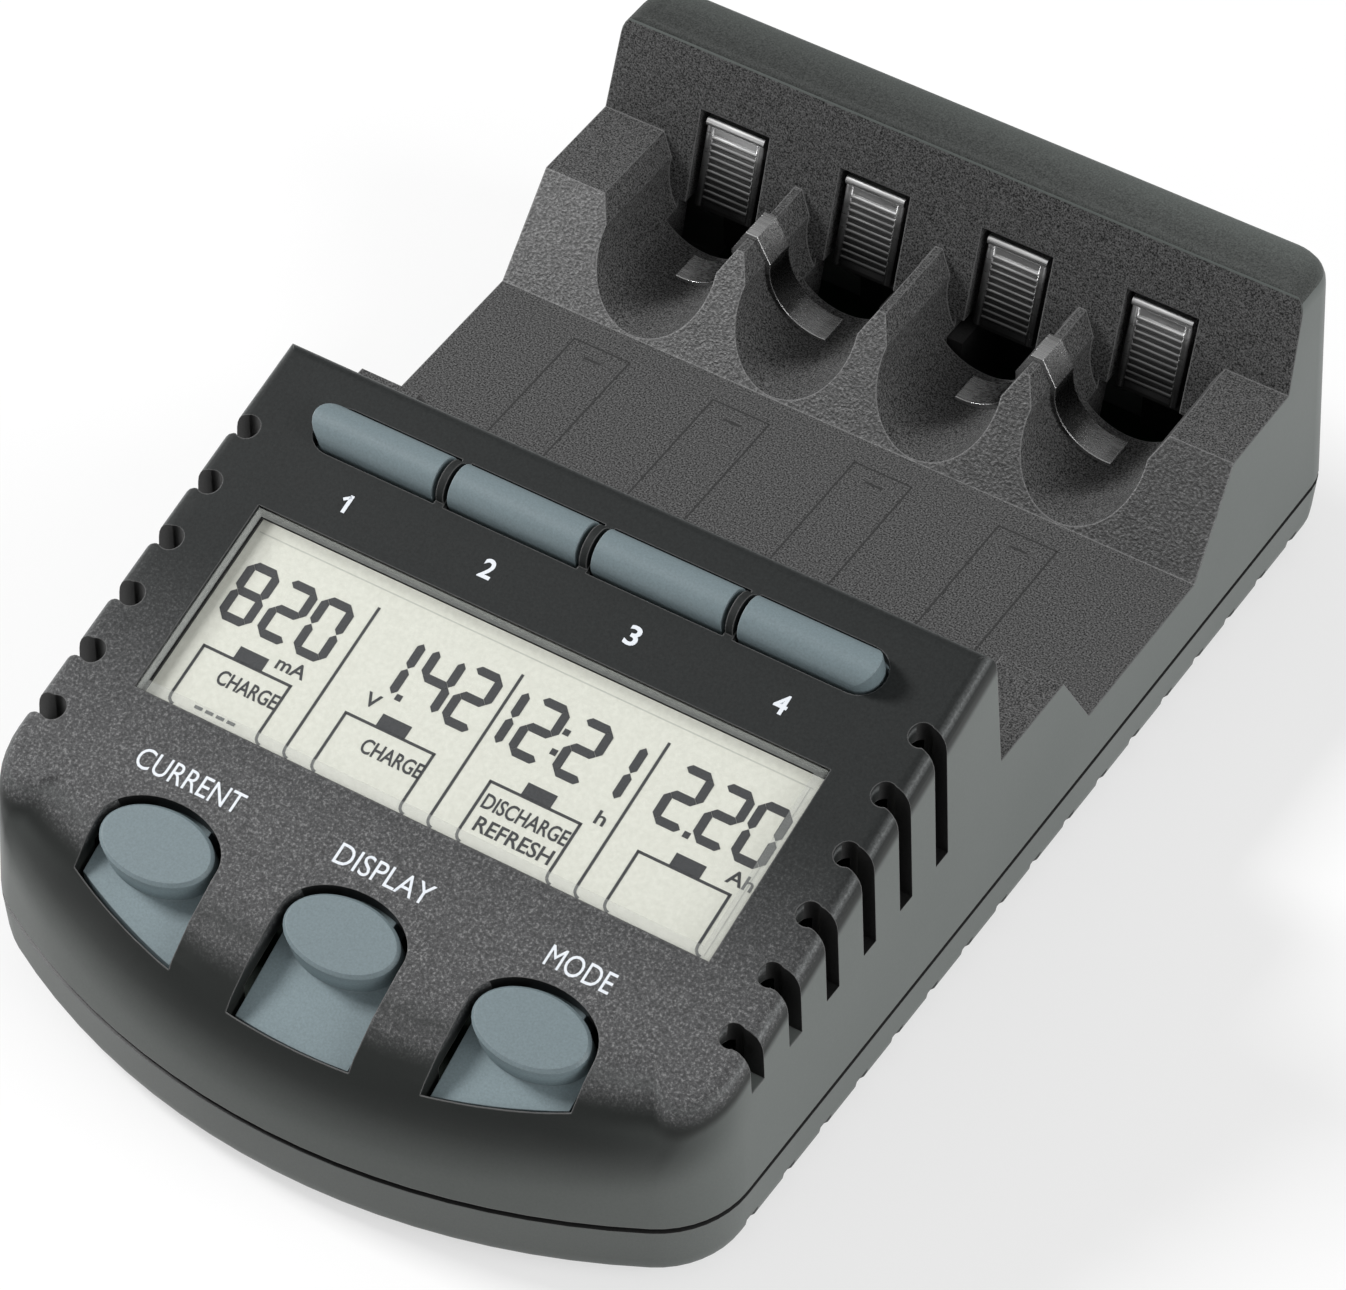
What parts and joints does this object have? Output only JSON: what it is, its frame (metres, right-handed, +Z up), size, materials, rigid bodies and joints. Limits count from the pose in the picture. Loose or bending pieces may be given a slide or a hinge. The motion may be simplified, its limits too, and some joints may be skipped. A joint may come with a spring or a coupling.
{
  "type": "aa battery charger",
  "caption": "Desktop charger for AA and AAA cells: sloped panel with display and keys, open battery bay, grooved cradle with sliding contacts and side vents.",
  "frame": {"origin": "on the table under the middle of the body's length and width", "axes": "+X to the right as the panel is read, +Y from the bowed front to the rear block, +Z up"},
  "size_m": [0.075, 0.121, 0.0358],
  "materials": {
    "housing_plastic": "near-black moulded plastic with a fine grain",
    "tray_plastic": "near-black moulded plastic, fine grain",
    "lens_clear": "clear polished plate with a bevelled rim",
    "lcd_ground": "pale grey-green display ground",
    "frame_white": "plain moulded",
    "strip_rubber": "plain",
    "board_green": "solder mask",
    "key_plastic": "blue-grey satin",
    "switch_black": "plain moulded",
    "slider_plastic": "glossy black",
    "contact_nickel": "dark nickel plate",
    "strip_aluminium": "brushed sheet",
    "link_plastic": "flat cable",
    "coil_copper": "enamelled wire",
    "screw_steel": "zinc plated",
    "foot_rubber": "matt black"
  },
  "bodies": {
    "housing": {"upper_housing": "housing_plastic", "lower_housing": "tray_plastic", "lcd_lens": "lens_clear", "lcd_cell": "lcd_ground", "lcd_frame": "frame_white", "connector_strip_front": "strip_rubber", "connector_strip_rear": "strip_rubber", "display_board": "board_green", "main_board": "board_green", "slot_switch_1": "switch_black", "slot_switch_2": "switch_black", "slot_switch_3": "switch_black", "slot_switch_4": "switch_black", "current_switch": "switch_black", "display_switch": "switch_black", "mode_switch": "switch_black", "controller_chip": "switch_black", "dc_inlet": "switch_black", "positive_contact_1": "contact_nickel", "positive_contact_2": "contact_nickel", "positive_contact_3": "contact_nickel", "positive_contact_4": "contact_nickel", "temperature_strip_left": "strip_aluminium", "temperature_strip_right": "strip_aluminium", "power_capacitor": "strip_aluminium", "board_link": "link_plastic", "power_coil": "coil_copper", "board_screws": "screw_steel", "housing_screws": "screw_steel", "rubber_feet": "foot_rubber"},
    "slot_button_1": {"slot_key_1": "key_plastic"},
    "slot_button_2": {"slot_key_2": "key_plastic"},
    "slot_button_3": {"slot_key_3": "key_plastic"},
    "slot_button_4": {"slot_key_4": "key_plastic"},
    "current_button": {"current_key": "key_plastic"},
    "display_button": {"display_key": "key_plastic"},
    "mode_button": {"mode_key": "key_plastic"},
    "slider_1": {"contact_slider_1": "slider_plastic", "negative_contact_1": "contact_nickel"},
    "slider_2": {"contact_slider_2": "slider_plastic", "negative_contact_2": "contact_nickel"},
    "slider_3": {"contact_slider_3": "slider_plastic", "negative_contact_3": "contact_nickel"},
    "slider_4": {"contact_slider_4": "slider_plastic", "negative_contact_4": "contact_nickel"}
  },
  "joints": [
    {"name": "slot_key_1_press", "type": "slide", "parent": "housing", "child": "slot_button_1", "axis": [0, 0.2974, -0.9548], "range_m": [0, 0.0006], "stiffness_N_per_m": 600, "springref_m": -0.0005},
    {"name": "slot_key_2_press", "type": "slide", "parent": "housing", "child": "slot_button_2", "axis": [0, 0.2974, -0.9548], "range_m": [0, 0.0006], "stiffness_N_per_m": 600, "springref_m": -0.0005},
    {"name": "slot_key_3_press", "type": "slide", "parent": "housing", "child": "slot_button_3", "axis": [0, 0.2974, -0.9548], "range_m": [0, 0.0006], "stiffness_N_per_m": 600, "springref_m": -0.0005},
    {"name": "slot_key_4_press", "type": "slide", "parent": "housing", "child": "slot_button_4", "axis": [0, 0.2974, -0.9548], "range_m": [0, 0.0006], "stiffness_N_per_m": 600, "springref_m": -0.0005},
    {"name": "current_key_press", "type": "slide", "parent": "housing", "child": "current_button", "axis": [0, 0.2974, -0.9548], "range_m": [0, 0.0006], "stiffness_N_per_m": 600, "springref_m": -0.0005},
    {"name": "display_key_press", "type": "slide", "parent": "housing", "child": "display_button", "axis": [0, 0.2974, -0.9548], "range_m": [0, 0.0006], "stiffness_N_per_m": 600, "springref_m": -0.0005},
    {"name": "mode_key_press", "type": "slide", "parent": "housing", "child": "mode_button", "axis": [0, 0.2974, -0.9548], "range_m": [0, 0.0006], "stiffness_N_per_m": 600, "springref_m": -0.0005},
    {"name": "slider_1_slide", "type": "slide", "parent": "housing", "child": "slider_1", "axis": [0, -1, 0], "range_m": [0, 0.006]},
    {"name": "slider_2_slide", "type": "slide", "parent": "housing", "child": "slider_2", "axis": [0, -1, 0], "range_m": [0, 0.006]},
    {"name": "slider_3_slide", "type": "slide", "parent": "housing", "child": "slider_3", "axis": [0, -1, 0], "range_m": [0, 0.006]},
    {"name": "slider_4_slide", "type": "slide", "parent": "housing", "child": "slider_4", "axis": [0, -1, 0], "range_m": [0, 0.006]}
  ]
}
